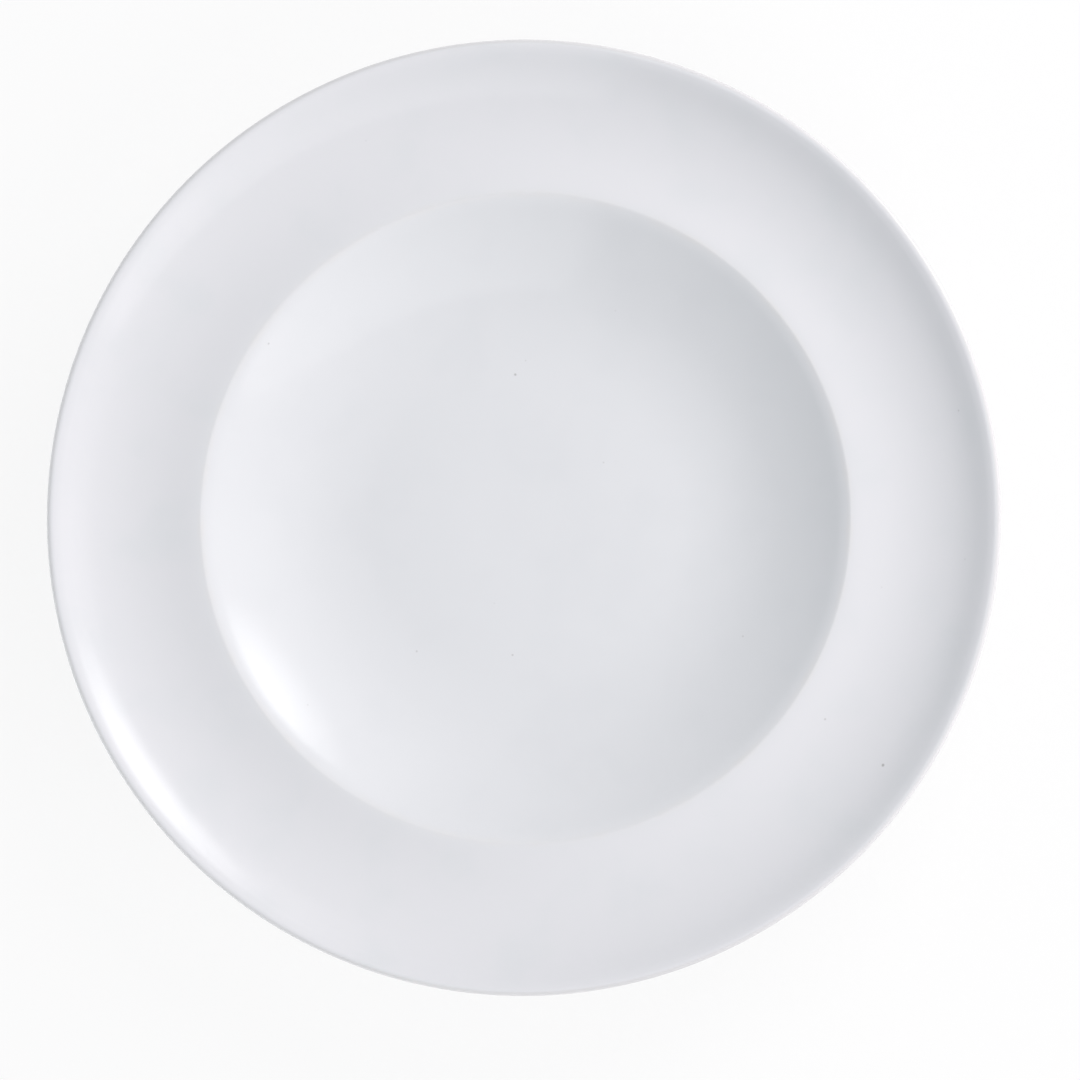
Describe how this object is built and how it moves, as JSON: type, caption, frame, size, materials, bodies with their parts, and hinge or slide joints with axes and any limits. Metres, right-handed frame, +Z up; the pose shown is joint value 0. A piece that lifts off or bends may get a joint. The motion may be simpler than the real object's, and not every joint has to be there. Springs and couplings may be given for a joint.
{
  "type": "salad plate",
  "caption": "Round rimmed plate in white glazed porcelain: a shallow well, a wide rim that sweeps up to a fine round edge, and a bare foot ring that it stands on.",
  "frame": {"origin": "centre of the foot ring's standing face, on the plate's axis", "axes": "+Z up along the plate's axis, out of the well; X and Y lie in the plane that the plate stands on"},
  "size_m": [0.23, 0.23, 0.0283],
  "materials": {
    "porcelain": "matte",
    "glaze": "gloss"
  },
  "bodies": {
    "root": {"clay_body": "porcelain", "outer_glaze": "glaze", "base_glaze": "glaze"}
  },
  "joints": []
}
